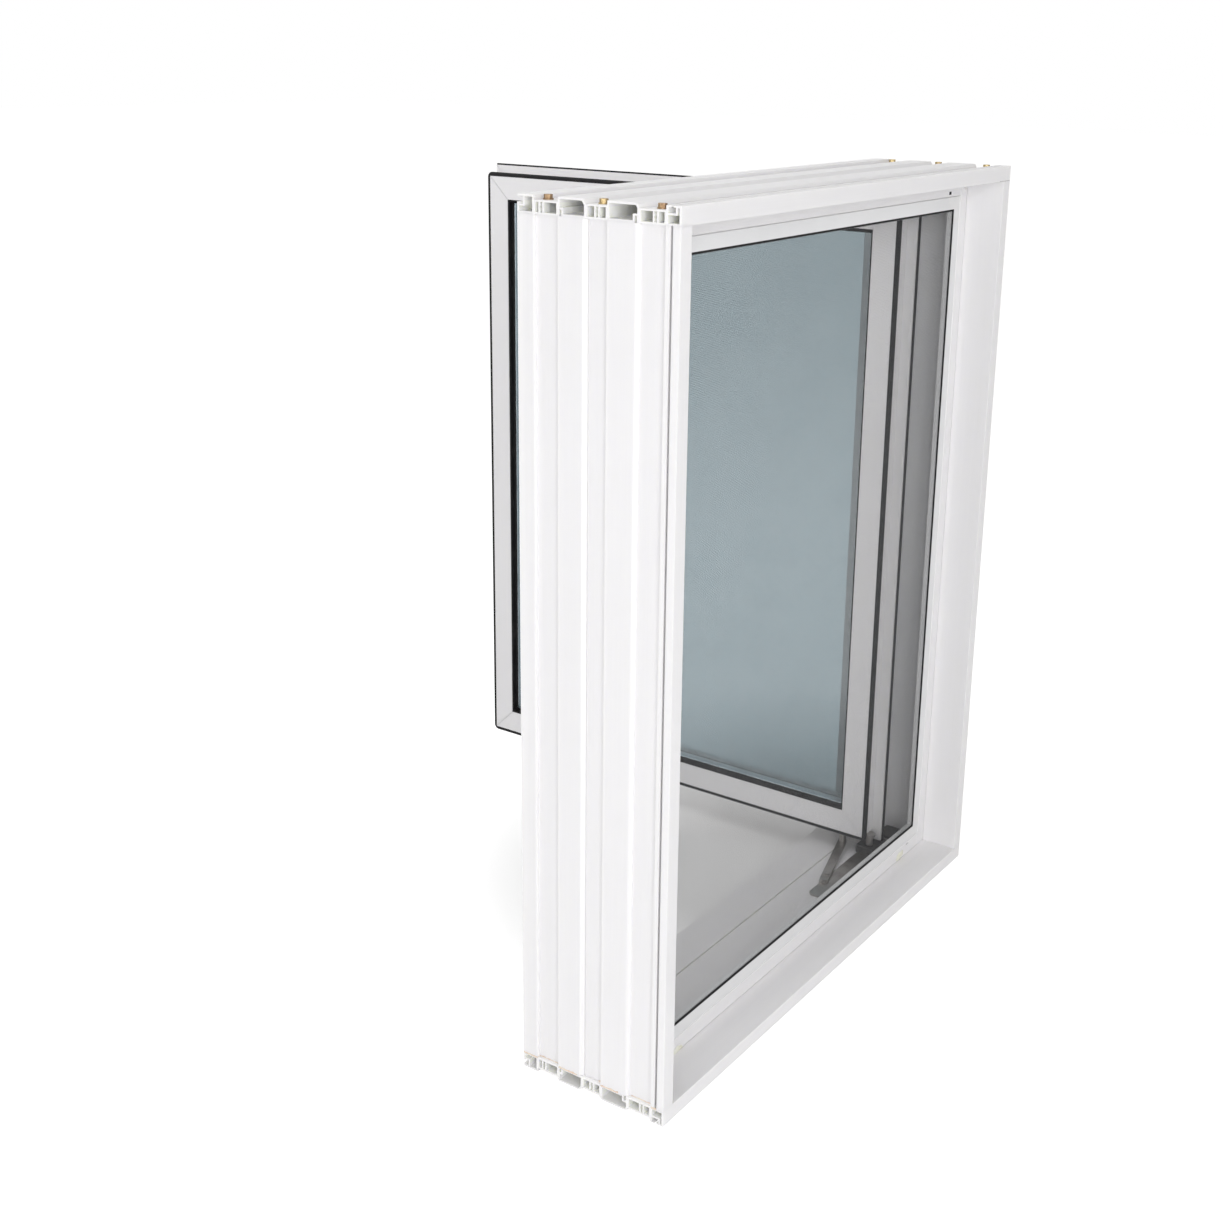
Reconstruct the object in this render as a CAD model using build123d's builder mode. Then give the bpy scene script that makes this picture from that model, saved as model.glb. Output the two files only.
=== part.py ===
from build123d import *
import os

# Egress casement window, sash standing open at a right angle.
# Millimetres. Z is up, the room is on the -Y side, the sash swings out to +Y.
# The origin lies on the sill's underside, mid-width, under the raised rib nearest the room.

# Outer frame
origin_depth = 58.0
frame_width = 664.0
frame_height = 850.0
frame_depth = 166.7
frame_thick = 16.0
deck_thick = 12.0
skin = 1.6
wall = 1.8

# Frame extrusion, depths measured from the room face
room_box_end = 14.5
pocket_lip_near = 7.6
pocket_lip_far = 10.0
pocket_near = 5.4
pocket_far = 12.7
pocket_floor = 10.0
pocket_lip = 1.4
deck3_end = 41.0
stop_kerf_near = 43.0
stop_kerf_far = 45.5
kerf_deep = 5.6
boxc_end = 72.5
corner_round = 3.0
round_step = 0.9
deck2_end = 94.6
boxb_end = 123.4
chamfer_run = 2.8
chamfer_foot = 3.6
chamber_inset = 1.0
seam_wide = 0.9
seam_deep = 0.8
seal_kerf_near = 119.8
seal_kerf_far = 122.0
deck1_end = 149.0
wall_slot_low = 9.4
wall_slot_high = 13.4
wall_slot_deep = 6.2
port_depths = (24.7, 83.1, 141.1)
port_half_wide = 1.5
port_half_pinch = 0.85

# Insect screen and its stop strips
stop_width = 17.5
stop_thick = 8.0
stop_tongue = 1.9
stop_rebate = 0.7
stop_skin = 1.4
kerf_play = 0.6
stop_round = 1.2
stop_hole_long = 5.6
stop_hole_high = 3.4
stop_hole_corner = 1.0
stop_hole_inset = 27.5
stop_hole_drop = 13.0
bar_width = 16.2
bar_skin = 1.2
bar_margin = 0.4
bar_thick = 6.8
bar_recess = 0.4
bar_gap = 0.2
spline_width = 2.3
spline_corner = 1.2
spline_recess = 0.2
spline_thick = 1.6
mesh_thick = 0.5
mesh_rib = 2.0
mesh_across = 6
mesh_upward = 8
key_reach = 13.2

# Sash, measured from its room face and its hinge edge
sash_margin = 42.0
sash_jamb_space = 87.5
sash_hinge_depth = 85.4
flange_lap = 12.0
flange_back = 28.0
flange_thick = 3.0
body_lap = 3.0
sash_thick = 48.0
face_width = 28.4
lip_thick = 8.5
glass_bite = 11.5
bulb_wide = 5.0
bulb_corner = 1.6
bulb_thick = 4.8
bulb_setback = 0.4
bulb_chamfer = 1.4
flange_seal_proud = 1.8
flange_seal_thick = 3.0
liner_thick = 2.0
liner_setback = 0.8
pane_thick = 4.0
pane_gap = 13.0
edge_gap = 2.0
spacer_inset = 12.0
spacer_wide = 9.0
bead_width = 15.0
bead_slope = 4.0
bead_skin = 1.4
bead_flat = 3.0
sealant_margin = 2.0
liner_corner = 3.0

# Hinge hardware
track_long = 208.0
track_corner = 4.0
track_wide = 18.0
track_thick = 2.4
arm_wide = 10.5
arm_thick = 3.0
sash_arm_wide = 14.0
sash_arm_long = 252.0
sash_arm_setback = 9.0
shoe_long = 36.0
shoe_wide = 26.0
shoe_high = 9.0
shoe_corner = 3.0
shoe_edge = 1.2
shoe_skirt_short = 6.0
end_block_long = 28.0
end_block_wide = 20.0
end_block_high = 3.2
end_block_edge = 1.6
pivot_radius = 4.5
rivet_radius = 3.4
rivet_high = 1.6
pivot_bore = 2.6
pivot_play = 0.1
support_pivot_inset = 33.0
support_pivot_depth = 89.4
support_rivet_along = 16.0
support_end_depth = 119.4
shoe_pivot_depth = 82.4
track_depth = 83.4
shoe_lead = 10.5

# Frame screws
screw_shank = 2.1
screw_play = 0.15
screw_tip_space = 1.0
screw_long = 34.0
hex_radius = 3.8
head_high = 3.4
washer_radius = 4.6
washer_thick = 1.0
low_head_high = 2.4

# Values that follow from the ones above
half_w = frame_width / 2
jamb_face_x = half_w - frame_thick
sash_face_x = jamb_face_x - sash_jamb_space
screw_hole = screw_shank + screw_play
clear_w = frame_width - 2 * frame_thick
clear_h = frame_height - 2 * frame_thick
sash_w = frame_width - 2 * sash_margin
sash_h = frame_height - 2 * sash_margin
sash_z1 = sash_margin
sash_z2 = sash_margin + sash_h
sash_hinge_y = sash_hinge_depth - origin_depth
sash_far_y = sash_hinge_y + sash_w
unit_thick = 2 * pane_thick + pane_gap
bead_back = lip_thick + unit_thick
flange_end = flange_back + flange_thick
pane_edge = face_width - glass_bite
bead_reach = pane_edge + bead_width
slot_step = 1.6
slot_rise = 0.8
web_extra = 1.3
pinch_reach = 2.2


def loop(points, mode=Mode.ADD):
    Polygon(*points, align=None, mode=mode)


# Closed outline of the frame extrusion: depth from the room, height from the opening face
def frame_outline():
    t = frame_thick
    d = frame_depth
    loop([
        (0, 0), (stop_kerf_near, 0), (stop_kerf_near, kerf_deep), (stop_kerf_far, kerf_deep),
        (stop_kerf_far, 0), (seal_kerf_near, 0), (seal_kerf_near, kerf_deep),
        (seal_kerf_far, kerf_deep), (seal_kerf_far, 0), (d, 0), (d, wall_slot_low),
        (d - wall, wall_slot_low), (d - wall, wall_slot_low - slot_step),
        (d - wall_slot_deep, wall_slot_low - slot_step), (d - wall_slot_deep, wall_slot_high + slot_rise),
        (d - wall, wall_slot_high + slot_rise), (d - wall, wall_slot_high), (d, wall_slot_high),
        (d, t), (deck1_end, t), (deck1_end, deck_thick), (boxb_end, deck_thick), (boxb_end, t),
        (deck2_end + chamfer_run, t), (deck2_end, t - chamfer_foot),
        (deck2_end, deck_thick - seam_deep), (deck2_end - seam_wide, deck_thick - seam_deep),
        (deck2_end - seam_wide, deck_thick), (boxc_end, deck_thick),
        (boxc_end, t), (deck3_end + corner_round, t), (deck3_end + round_step, t - round_step),
        (deck3_end, t - corner_round), (deck3_end, deck_thick), (room_box_end, deck_thick),
        (room_box_end, t), (pocket_lip_far, t), (pocket_lip_far, t - pocket_lip),
        (pocket_far, t - pocket_lip), (pocket_far, pocket_floor), (pocket_near, pocket_floor),
        (pocket_near, t - pocket_lip), (pocket_lip_near, t - pocket_lip), (pocket_lip_near, t),
        (0, t),
    ])


def frame_chambers():
    t = frame_thick
    d = frame_depth
    low = skin
    high = deck_thick - skin
    cap = t - wall
    kerf_top = kerf_deep + skin
    cells = [
        [(wall, wall), (room_box_end - wall, wall), (room_box_end - wall, pocket_floor - skin),
         (pocket_near - skin, pocket_floor - skin), (pocket_near - skin, cap), (wall, cap)],
        [(stop_kerf_far + skin, wall), (boxc_end - wall, wall), (boxc_end - wall, cap),
         (deck3_end + corner_round, cap), (deck3_end + skin, cap - pinch_reach),
         (deck3_end + skin, kerf_top), (stop_kerf_far + skin, kerf_top)],
        [(deck2_end + skin, wall), (seal_kerf_near - skin, wall), (seal_kerf_near - skin, kerf_top),
         (boxb_end - skin, kerf_top), (boxb_end - skin, cap), (deck2_end + chamfer_run + chamber_inset, cap),
         (deck2_end + skin, cap - chamfer_foot)],
        [(deck1_end + skin, wall), (d - wall, wall), (d - wall, wall_slot_low - slot_step - skin),
         (d - wall_slot_deep - skin, wall_slot_low - slot_step - skin),
         (d - wall_slot_deep - skin, cap), (deck1_end + skin, cap)],
    ]
    decks = ((room_box_end, deck3_end), (boxc_end, deck2_end), (boxb_end, deck1_end))
    for (near, far), port in zip(decks, port_depths):
        web = port_half_wide + web_extra
        cells.append([(near + skin, low), (port - web, low), (port - web, high), (near + skin, high)])
        cells.append([(port + web, low), (far - skin, low), (far - skin, high), (port + web, high)])
        mid = deck_thick / 2
        w = port_half_wide
        p = port_half_pinch
        cells.append([
            (port - w, low), (port + w, low), (port + p, mid - pinch_reach), (port + w, mid),
            (port + p, mid + pinch_reach), (port + w, high), (port - w, high), (port - p, mid + pinch_reach),
            (port - w, mid), (port - p, mid - pinch_reach)])
    for cell in cells:
        loop(cell, Mode.SUBTRACT)


# Screw centres in plan: over the screw ports of both jambs
port_height = deck_thick / 2
screw_x = jamb_face_x + port_height
screw_points = [(sx * screw_x, depth - origin_depth) for sx in (-1, 1) for depth in port_depths]

# Frame members
head_plane = Plane(origin=(-half_w, -origin_depth, frame_height - frame_thick), x_dir=(0, 1, 0), z_dir=(1, 0, 0))
sill_plane = Plane(origin=(half_w, -origin_depth, frame_thick), x_dir=(0, 1, 0), z_dir=(-1, 0, 0))
left_plane = Plane(origin=(frame_thick - half_w, -origin_depth, frame_thick), x_dir=(0, 1, 0), z_dir=(0, 0, 1))
right_plane = Plane(
    origin=(half_w - frame_thick, -origin_depth, frame_height - frame_thick), x_dir=(0, 1, 0), z_dir=(0, 0, -1))

with BuildPart() as head:
    with BuildSketch(head_plane):
        frame_outline()
        frame_chambers()
    extrude(amount=frame_width)
    with BuildSketch(Plane.XY.offset(frame_height - frame_thick)):
        with Locations(*screw_points):
            RegularPolygon(screw_hole, 6)
    extrude(amount=frame_thick, mode=Mode.SUBTRACT)

with BuildPart() as sill:
    with BuildSketch(sill_plane):
        frame_outline()
        frame_chambers()
    extrude(amount=frame_width)
    with BuildSketch(Plane.XY):
        with Locations(*screw_points):
            RegularPolygon(screw_hole, 6)
    extrude(amount=frame_thick, mode=Mode.SUBTRACT)

# Length of screw inside the jamb and the bore it cuts there
bite = screw_long - deck_thick + screw_tip_space
with BuildPart() as left_jamb:
    with BuildSketch(left_plane):
        frame_outline()
        frame_chambers()
    extrude(amount=clear_h)
    with BuildSketch(Plane.XY.offset(frame_thick)):
        with Locations(*screw_points[:3]):
            RegularPolygon(screw_hole, 6)
    extrude(amount=bite, mode=Mode.SUBTRACT)
    with BuildSketch(Plane.XY.offset(frame_height - frame_thick)):
        with Locations(*screw_points[:3]):
            RegularPolygon(screw_hole, 6)
    extrude(amount=-bite, mode=Mode.SUBTRACT)

with BuildPart() as right_jamb:
    with BuildSketch(right_plane):
        frame_outline()
        frame_chambers()
    extrude(amount=clear_h)
    with BuildSketch(Plane.XY.offset(frame_thick)):
        with Locations(*screw_points[3:]):
            RegularPolygon(screw_hole, 6)
    extrude(amount=bite, mode=Mode.SUBTRACT)
    with BuildSketch(Plane.XY.offset(frame_height - frame_thick)):
        with Locations(*screw_points[3:]):
            RegularPolygon(screw_hole, 6)
    extrude(amount=-bite, mode=Mode.SUBTRACT)

# Hex screws with an integral washer, standing on the recessed decks
deck_drop = frame_thick - deck_thick
head_deck = frame_height - deck_drop
with BuildPart() as head_screws:
    with BuildSketch(Plane.XY.offset(head_deck)):
        with Locations(*screw_points):
            Circle(washer_radius)
    extrude(amount=washer_thick)
    with BuildSketch(Plane.XY.offset(head_deck + washer_thick)):
        with Locations(*screw_points):
            RegularPolygon(hex_radius, 6)
    extrude(amount=head_high)
    with BuildSketch(Plane.XY.offset(head_deck)):
        with Locations(*screw_points):
            RegularPolygon(screw_shank, 6)
    extrude(amount=-screw_long)

# Low headed screws under the sill stay above its seat
with BuildPart() as sill_screws:
    with BuildSketch(Plane.XY.offset(deck_drop)):
        with Locations(*screw_points):
            Circle(washer_radius)
    extrude(amount=-washer_thick)
    with BuildSketch(Plane.XY.offset(deck_drop - washer_thick)):
        with Locations(*screw_points):
            RegularPolygon(hex_radius, 6)
    extrude(amount=-low_head_high)
    with BuildSketch(Plane.XY.offset(deck_drop)):
        with Locations(*screw_points):
            RegularPolygon(screw_shank, 6)
    extrude(amount=screw_long)

# Stop strips that press into the kerf round the opening
stop_face_y = stop_kerf_near - origin_depth
stop_long = clear_h
stop_short = clear_w - 2 * stop_width


def stop_outline():
    loop([
        (0, stop_rebate), (0, stop_width - stop_round), (stop_rebate, stop_width - stop_rebate),
        (stop_round, stop_width), (stop_thick, stop_width), (stop_thick, 0), (stop_tongue, 0),
        (stop_tongue, kerf_play - kerf_deep), (0, kerf_play - kerf_deep), (0, 0), (stop_rebate, 0),
        (stop_rebate, stop_rebate)])
    far = stop_width - stop_skin
    loop([(stop_skin, stop_skin), (stop_thick - stop_skin, stop_skin), (stop_thick - stop_skin, far),
          (stop_round, far), (stop_skin, far - stop_rebate)], Mode.SUBTRACT)


left_stop_plane = Plane(
    origin=(frame_thick - half_w, stop_face_y, frame_height - frame_thick), x_dir=(0, 1, 0), z_dir=(0, 0, -1))
right_stop_plane = Plane(
    origin=(half_w - frame_thick, stop_face_y, frame_thick), x_dir=(0, 1, 0), z_dir=(0, 0, 1))
bottom_stop_plane = Plane(
    origin=(-stop_short / 2, stop_face_y, frame_thick), x_dir=(0, 1, 0), z_dir=(1, 0, 0))
top_stop_plane = Plane(
    origin=(stop_short / 2, stop_face_y, frame_height - frame_thick), x_dir=(0, 1, 0), z_dir=(-1, 0, 0))

with BuildPart() as left_stop:
    with BuildSketch(left_stop_plane):
        stop_outline()
    extrude(amount=stop_long)

with BuildPart() as right_stop:
    with BuildSketch(right_stop_plane):
        stop_outline()
    extrude(amount=stop_long)

with BuildPart() as bottom_stop:
    with BuildSketch(bottom_stop_plane):
        stop_outline()
    extrude(amount=stop_short)

# The top strip has one small empty screw hole near its hinge-side end
hole_x = jamb_face_x - stop_hole_inset - stop_width
hole_z = frame_height - frame_thick - stop_hole_drop
with BuildPart() as top_stop:
    with BuildSketch(top_stop_plane):
        stop_outline()
    extrude(amount=stop_short)
    with BuildSketch(Plane(origin=(hole_x, stop_face_y, hole_z), x_dir=(1, 0, 0), z_dir=(0, -1, 0))):
        RectangleRounded(stop_hole_long, stop_hole_high, stop_hole_corner)
    extrude(amount=-stop_thick, mode=Mode.SUBTRACT)

# Screen frame bars between corner pieces
screen_w = clear_w - 2 * stop_width - 2 * bar_gap
screen_h = clear_h - 2 * stop_width - 2 * bar_gap
screen_z1 = frame_thick + stop_width + bar_gap
screen_z2 = screen_z1 + screen_h
bar_face_y = stop_face_y + bar_recess
key_long = bar_width + key_reach
step_in = bar_width - spline_width - bar_margin
step_y = bar_face_y + spline_thick


def bar_outline():
    # Depth from the room face of the bar, height from its outer edge
    loop([
        (0, 0), (0, step_in), (spline_thick, step_in), (spline_thick, bar_width), (bar_thick, bar_width),
        (bar_thick, 0)])
    loop([(bar_skin, bar_skin), (bar_thick - bar_skin, bar_skin), (bar_thick - bar_skin, bar_width - bar_skin),
          (spline_thick + bar_skin, bar_width - bar_skin), (spline_thick + bar_skin, step_in - bar_skin),
          (bar_skin, step_in - bar_skin)], Mode.SUBTRACT)


left_bar_plane = Plane(origin=(-screen_w / 2, bar_face_y, screen_z2 - key_long), x_dir=(0, 1, 0), z_dir=(0, 0, -1))
right_bar_plane = Plane(origin=(screen_w / 2, bar_face_y, screen_z1 + key_long), x_dir=(0, 1, 0), z_dir=(0, 0, 1))
bottom_bar_plane = Plane(origin=(key_long - screen_w / 2, bar_face_y, screen_z1), x_dir=(0, 1, 0), z_dir=(1, 0, 0))
top_bar_plane = Plane(origin=(screen_w / 2 - key_long, bar_face_y, screen_z2), x_dir=(0, 1, 0), z_dir=(-1, 0, 0))

with BuildPart() as screen_left_bar:
    with BuildSketch(left_bar_plane):
        bar_outline()
    extrude(amount=screen_h - 2 * key_long)

with BuildPart() as screen_right_bar:
    with BuildSketch(right_bar_plane):
        bar_outline()
    extrude(amount=screen_h - 2 * key_long)

with BuildPart() as screen_bottom_bar:
    with BuildSketch(bottom_bar_plane):
        bar_outline()
    extrude(amount=screen_w - 2 * key_long)

with BuildPart() as screen_top_bar:
    with BuildSketch(top_bar_plane):
        bar_outline()
    extrude(amount=screen_w - 2 * key_long)

# Corner pieces with the same step for the spline
with BuildPart() as screen_corners:
    for sx in (-1, 1):
        for sz in (0, 1):
            cx = sx * screen_w / 2
            cz = screen_z1 if sz == 0 else screen_z2
            dx = -sx
            dz = 1 if sz == 0 else -1
            with BuildSketch(Plane(origin=(0, bar_face_y, 0), x_dir=(1, 0, 0), z_dir=(0, -1, 0))):
                Polygon((cx, cz), (cx + dx * key_long, cz), (cx + dx * key_long, cz + dz * bar_width),
                        (cx + dx * bar_width, cz + dz * bar_width), (cx + dx * bar_width, cz + dz * key_long),
                        (cx, cz + dz * key_long), align=None)
            extrude(amount=-bar_thick)
            run = 2 * key_long
            with BuildSketch(Plane(origin=(0, bar_face_y, 0), x_dir=(1, 0, 0), z_dir=(0, -1, 0))):
                Polygon((cx + dx * step_in, cz + dz * step_in), (cx + dx * run, cz + dz * step_in),
                        (cx + dx * run, cz + dz * run), (cx + dx * step_in, cz + dz * run), align=None)
            extrude(amount=-spline_thick, mode=Mode.SUBTRACT)

# Spline and mesh seated on the step of the bars; the mesh is a plain grid of openings
screen_cz = (screen_z1 + screen_z2) / 2
mesh_w = screen_w - 2 * step_in
mesh_h = screen_h - 2 * step_in
open_w = screen_w - 2 * bar_width
open_h = screen_h - 2 * bar_width
pitch_x = open_w / mesh_across
pitch_z = open_h / mesh_upward
with BuildPart() as screen_mesh:
    with BuildSketch(Plane(origin=(0, step_y, screen_cz), x_dir=(1, 0, 0), z_dir=(0, -1, 0))):
        Rectangle(mesh_w, mesh_h)
        with GridLocations(pitch_x, pitch_z, mesh_across, mesh_upward):
            Rectangle(pitch_x - mesh_rib, pitch_z - mesh_rib, mode=Mode.SUBTRACT)
    extrude(amount=mesh_thick)

with BuildPart() as screen_spline:
    with BuildSketch(Plane(origin=(0, step_y - mesh_thick, screen_cz), x_dir=(1, 0, 0), z_dir=(0, -1, 0))):
        Rectangle(mesh_w, mesh_h)
        RectangleRounded(
            mesh_w - 2 * spline_width, mesh_h - 2 * spline_width, spline_corner, mode=Mode.SUBTRACT)
    extrude(amount=spline_thick - mesh_thick - spline_recess)

# Sash members, mitred at the corners


def sash_outline():
    # Distance in from the hinge or free edge, depth back from the room face
    loop([
        (0, 0), (face_width, 0), (face_width, lip_thick), (pane_edge - edge_gap, lip_thick),
        (pane_edge - edge_gap, sash_thick), (-body_lap, sash_thick), (-body_lap, flange_end),
        (-flange_lap, flange_end), (-flange_lap, flange_back), (0, flange_back)])
    web = pane_edge - edge_gap - wall
    for cell in (
        [(wall, wall), (web, wall), (web, lip_thick - skin), (wall, lip_thick - skin)],
        [(web + skin, wall), (face_width - wall, wall), (face_width - wall, lip_thick - wall),
         (web + skin, lip_thick - wall)],
        [(wall, lip_thick), (web, lip_thick), (web, flange_back), (wall, flange_back)],
        [(wall - body_lap, flange_back + wall), (web, flange_back + wall), (web, sash_thick - wall),
         (wall - body_lap, sash_thick - wall)],
    ):
        loop(cell, Mode.SUBTRACT)


cut_start = 5.0
reach = 70.0
face_plane = Plane(origin=(sash_face_x - cut_start, 0, 0), x_dir=(0, 1, 0), z_dir=(1, 0, 0))
cut_deep = sash_thick + 2 * cut_start


out_y1 = sash_hinge_y - flange_lap
out_y2 = sash_far_y + flange_lap
out_z1 = sash_z1 - flange_lap
out_z2 = sash_z2 + flange_lap
out_reach = reach + flange_lap
hinge_cut = [(out_y1, out_z1), (out_y1 + out_reach, out_z1 + out_reach),
             (out_y1 + out_reach, out_z2 - out_reach), (out_y1, out_z2)]
lock_cut = [(out_y2, out_z1), (out_y2, out_z2), (out_y2 - out_reach, out_z2 - out_reach),
            (out_y2 - out_reach, out_z1 + out_reach)]
bottom_cut = [(out_y1, out_z1), (out_y2, out_z1), (out_y2 - out_reach, out_z1 + out_reach),
              (out_y1 + out_reach, out_z1 + out_reach)]
top_cut = [(out_y1, out_z2), (out_y1 + out_reach, out_z2 - out_reach),
           (out_y2 - out_reach, out_z2 - out_reach), (out_y2, out_z2)]
hinge_plane = Plane(origin=(sash_face_x, sash_hinge_y, out_z2), x_dir=(0, 1, 0), z_dir=(0, 0, -1))
lock_plane = Plane(origin=(sash_face_x, sash_far_y, out_z1), x_dir=(0, -1, 0), z_dir=(0, 0, 1))
bottom_plane = Plane(origin=(sash_face_x, out_y1, sash_z1), x_dir=(0, 0, 1), z_dir=(0, 1, 0))
top_plane = Plane(origin=(sash_face_x, out_y2, sash_z2), x_dir=(0, 0, -1), z_dir=(0, -1, 0))
stile_long = out_z2 - out_z1
rail_long = out_y2 - out_y1

with BuildPart() as sash_hinge_stile:
    with BuildSketch(hinge_plane):
        sash_outline()
    extrude(amount=stile_long)
    with BuildSketch(face_plane):
        loop(hinge_cut)
    extrude(amount=cut_deep, mode=Mode.INTERSECT)

with BuildPart() as sash_lock_stile:
    with BuildSketch(lock_plane):
        sash_outline()
    extrude(amount=stile_long)
    with BuildSketch(face_plane):
        loop(lock_cut)
    extrude(amount=cut_deep, mode=Mode.INTERSECT)

with BuildPart() as sash_bottom_rail:
    with BuildSketch(bottom_plane):
        sash_outline()
    extrude(amount=rail_long)
    with BuildSketch(face_plane):
        loop(bottom_cut)
    extrude(amount=cut_deep, mode=Mode.INTERSECT)

with BuildPart() as sash_top_rail:
    with BuildSketch(top_plane):
        sash_outline()
    extrude(amount=rail_long)
    with BuildSketch(face_plane):
        loop(top_cut)
    extrude(amount=cut_deep, mode=Mode.INTERSECT)

# Glazing beads on the outside, mitred the same way


def bead_outline():
    low = pane_edge - edge_gap
    loop([(low, bead_back), (bead_reach, bead_back), (bead_reach, bead_back + bead_flat),
          (bead_reach - bead_slope, sash_thick), (low, sash_thick)])
    inner = bead_back + bead_skin
    outer = sash_thick - bead_skin
    loop([(low + bead_skin, inner), (bead_reach - bead_skin, inner),
          (bead_reach - bead_skin, bead_back + bead_flat), (bead_reach - bead_slope - bead_skin, outer),
          (low + bead_skin, outer)], Mode.SUBTRACT)


with BuildPart() as bead_hinge_side:
    with BuildSketch(hinge_plane):
        bead_outline()
    extrude(amount=stile_long)
    with BuildSketch(face_plane):
        loop(hinge_cut)
    extrude(amount=cut_deep, mode=Mode.INTERSECT)

with BuildPart() as bead_lock_side:
    with BuildSketch(lock_plane):
        bead_outline()
    extrude(amount=stile_long)
    with BuildSketch(face_plane):
        loop(lock_cut)
    extrude(amount=cut_deep, mode=Mode.INTERSECT)

with BuildPart() as bead_bottom:
    with BuildSketch(bottom_plane):
        bead_outline()
    extrude(amount=rail_long)
    with BuildSketch(face_plane):
        loop(bottom_cut)
    extrude(amount=cut_deep, mode=Mode.INTERSECT)

with BuildPart() as bead_top:
    with BuildSketch(top_plane):
        bead_outline()
    extrude(amount=rail_long)
    with BuildSketch(face_plane):
        loop(top_cut)
    extrude(amount=cut_deep, mode=Mode.INTERSECT)

# Rings that follow the sash: seals, panes and spacer
mid_y = (sash_hinge_y + sash_far_y) / 2
mid_z = (sash_z1 + sash_z2) / 2


def ring_plane(depth):
    return Plane(origin=(sash_face_x + depth, mid_y, mid_z), x_dir=(0, 1, 0), z_dir=(1, 0, 0))


with BuildPart() as sash_bulb_seal:
    with BuildSketch(ring_plane(bulb_setback)):
        RectangleRounded(sash_w + 2 * bulb_wide, sash_h + 2 * bulb_wide, bulb_wide + bulb_corner)
        Rectangle(sash_w, sash_h, mode=Mode.SUBTRACT)
    extrude(amount=bulb_thick)
    faces_x = (sash_face_x + bulb_setback, sash_face_x + bulb_setback + bulb_thick)
    chamfer(
        sash_bulb_seal.edges().filter_by(
            lambda e: min(abs(e.center().X - x) for x in faces_x) < 0.01 and max(
                abs(e.center().Y - mid_y) - sash_w / 2, abs(e.center().Z - mid_z) - sash_h / 2) > 1.0),
        length=bulb_chamfer)

flange_seal_lap = flange_lap + flange_seal_proud
with BuildPart() as flange_seal:
    with BuildSketch(ring_plane(flange_end)):
        Rectangle(sash_w + 2 * flange_seal_lap, sash_h + 2 * flange_seal_lap)
        Rectangle(sash_w + 2 * body_lap, sash_h + 2 * body_lap, mode=Mode.SUBTRACT)
    extrude(amount=flange_seal_thick)

sight_w = sash_w - 2 * face_width
sight_h = sash_h - 2 * face_width
with BuildPart() as glazing_liner:
    with BuildSketch(ring_plane(liner_setback)):
        Rectangle(sight_w, sight_h)
        RectangleRounded(sight_w - 2 * liner_thick, sight_h - 2 * liner_thick, liner_corner, mode=Mode.SUBTRACT)
    extrude(amount=lip_thick - liner_setback)

pane_w = sash_w - 2 * pane_edge
pane_h = sash_h - 2 * pane_edge
with BuildPart() as inner_glass:
    with BuildSketch(ring_plane(lip_thick)):
        Rectangle(pane_w, pane_h)
    extrude(amount=pane_thick)

with BuildPart() as outer_glass:
    with BuildSketch(ring_plane(lip_thick + pane_thick + pane_gap)):
        Rectangle(pane_w, pane_h)
    extrude(amount=pane_thick)

spacer_w = pane_w - 2 * spacer_inset
spacer_h = pane_h - 2 * spacer_inset
with BuildPart() as glass_spacer:
    with BuildSketch(ring_plane(lip_thick + pane_thick)):
        Rectangle(spacer_w, spacer_h)
        Rectangle(spacer_w - 2 * spacer_wide, spacer_h - 2 * spacer_wide, mode=Mode.SUBTRACT)
    extrude(amount=pane_gap)

with BuildPart() as edge_sealant:
    with BuildSketch(ring_plane(lip_thick + pane_thick)):
        Rectangle(pane_w - 2 * sealant_margin, pane_h - 2 * sealant_margin)
        Rectangle(spacer_w, spacer_h, mode=Mode.SUBTRACT)
    extrude(amount=pane_gap)

# Lower hinge set: track, sliding shoe, end block, support arm, sash arm and their pins
track_mid_x = jamb_face_x - track_long / 2
support_pivot_x = jamb_face_x - track_long + support_pivot_inset
track_top = frame_thick + track_thick
support_top = track_top + arm_thick
track_y = track_depth - origin_depth
support_pivot_y = support_pivot_depth - origin_depth
support_end_y = support_end_depth - origin_depth
shoe_pivot_y = shoe_pivot_depth - origin_depth
arm_x = sash_face_x + sash_arm_setback + sash_arm_wide / 2
sash_arm_under = sash_z1 - arm_thick
sash_arm_y1 = shoe_pivot_y - sash_arm_wide / 2
sash_arm_mid_y = sash_arm_y1 + sash_arm_long / 2
shoe_mid_x = arm_x - shoe_lead + shoe_long / 2
end_block_mid_x = jamb_face_x - end_block_long / 2
skirt_wide = (shoe_wide - track_wide) / 2
skirt_y = (track_wide + skirt_wide) / 2
span_x = arm_x - support_pivot_x
span_y = support_end_y - support_pivot_y
span = (span_x ** 2 + span_y ** 2) ** 0.5
rivet_x = support_pivot_x + span_x / span * support_rivet_along
rivet_y = support_pivot_y + span_y / span * support_rivet_along

with BuildPart() as lower_track:
    with BuildSketch(Plane.XY.offset(frame_thick)):
        with Locations((track_mid_x, track_y)):
            Rectangle(track_long, track_wide)
    extrude(amount=track_thick)
    chamfer(lower_track.edges().filter_by(Axis.Z).group_by(Axis.X)[0], length=track_corner)

with BuildPart() as lower_support_arm:
    with BuildSketch(Plane.XY.offset(track_top)):
        with Locations((support_pivot_x, support_pivot_y), (arm_x, support_end_y)):
            Circle(arm_wide / 2)
        make_hull()
        with Locations((support_pivot_x, support_pivot_y), (rivet_x, rivet_y)):
            Circle(pivot_bore, mode=Mode.SUBTRACT)
    extrude(amount=arm_thick)

with BuildPart() as lower_sash_arm:
    with BuildSketch(Plane.XY.offset(sash_arm_under)):
        with Locations((arm_x, sash_arm_mid_y)):
            SlotOverall(sash_arm_long, sash_arm_wide, rotation=90)
    extrude(amount=arm_thick)

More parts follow.
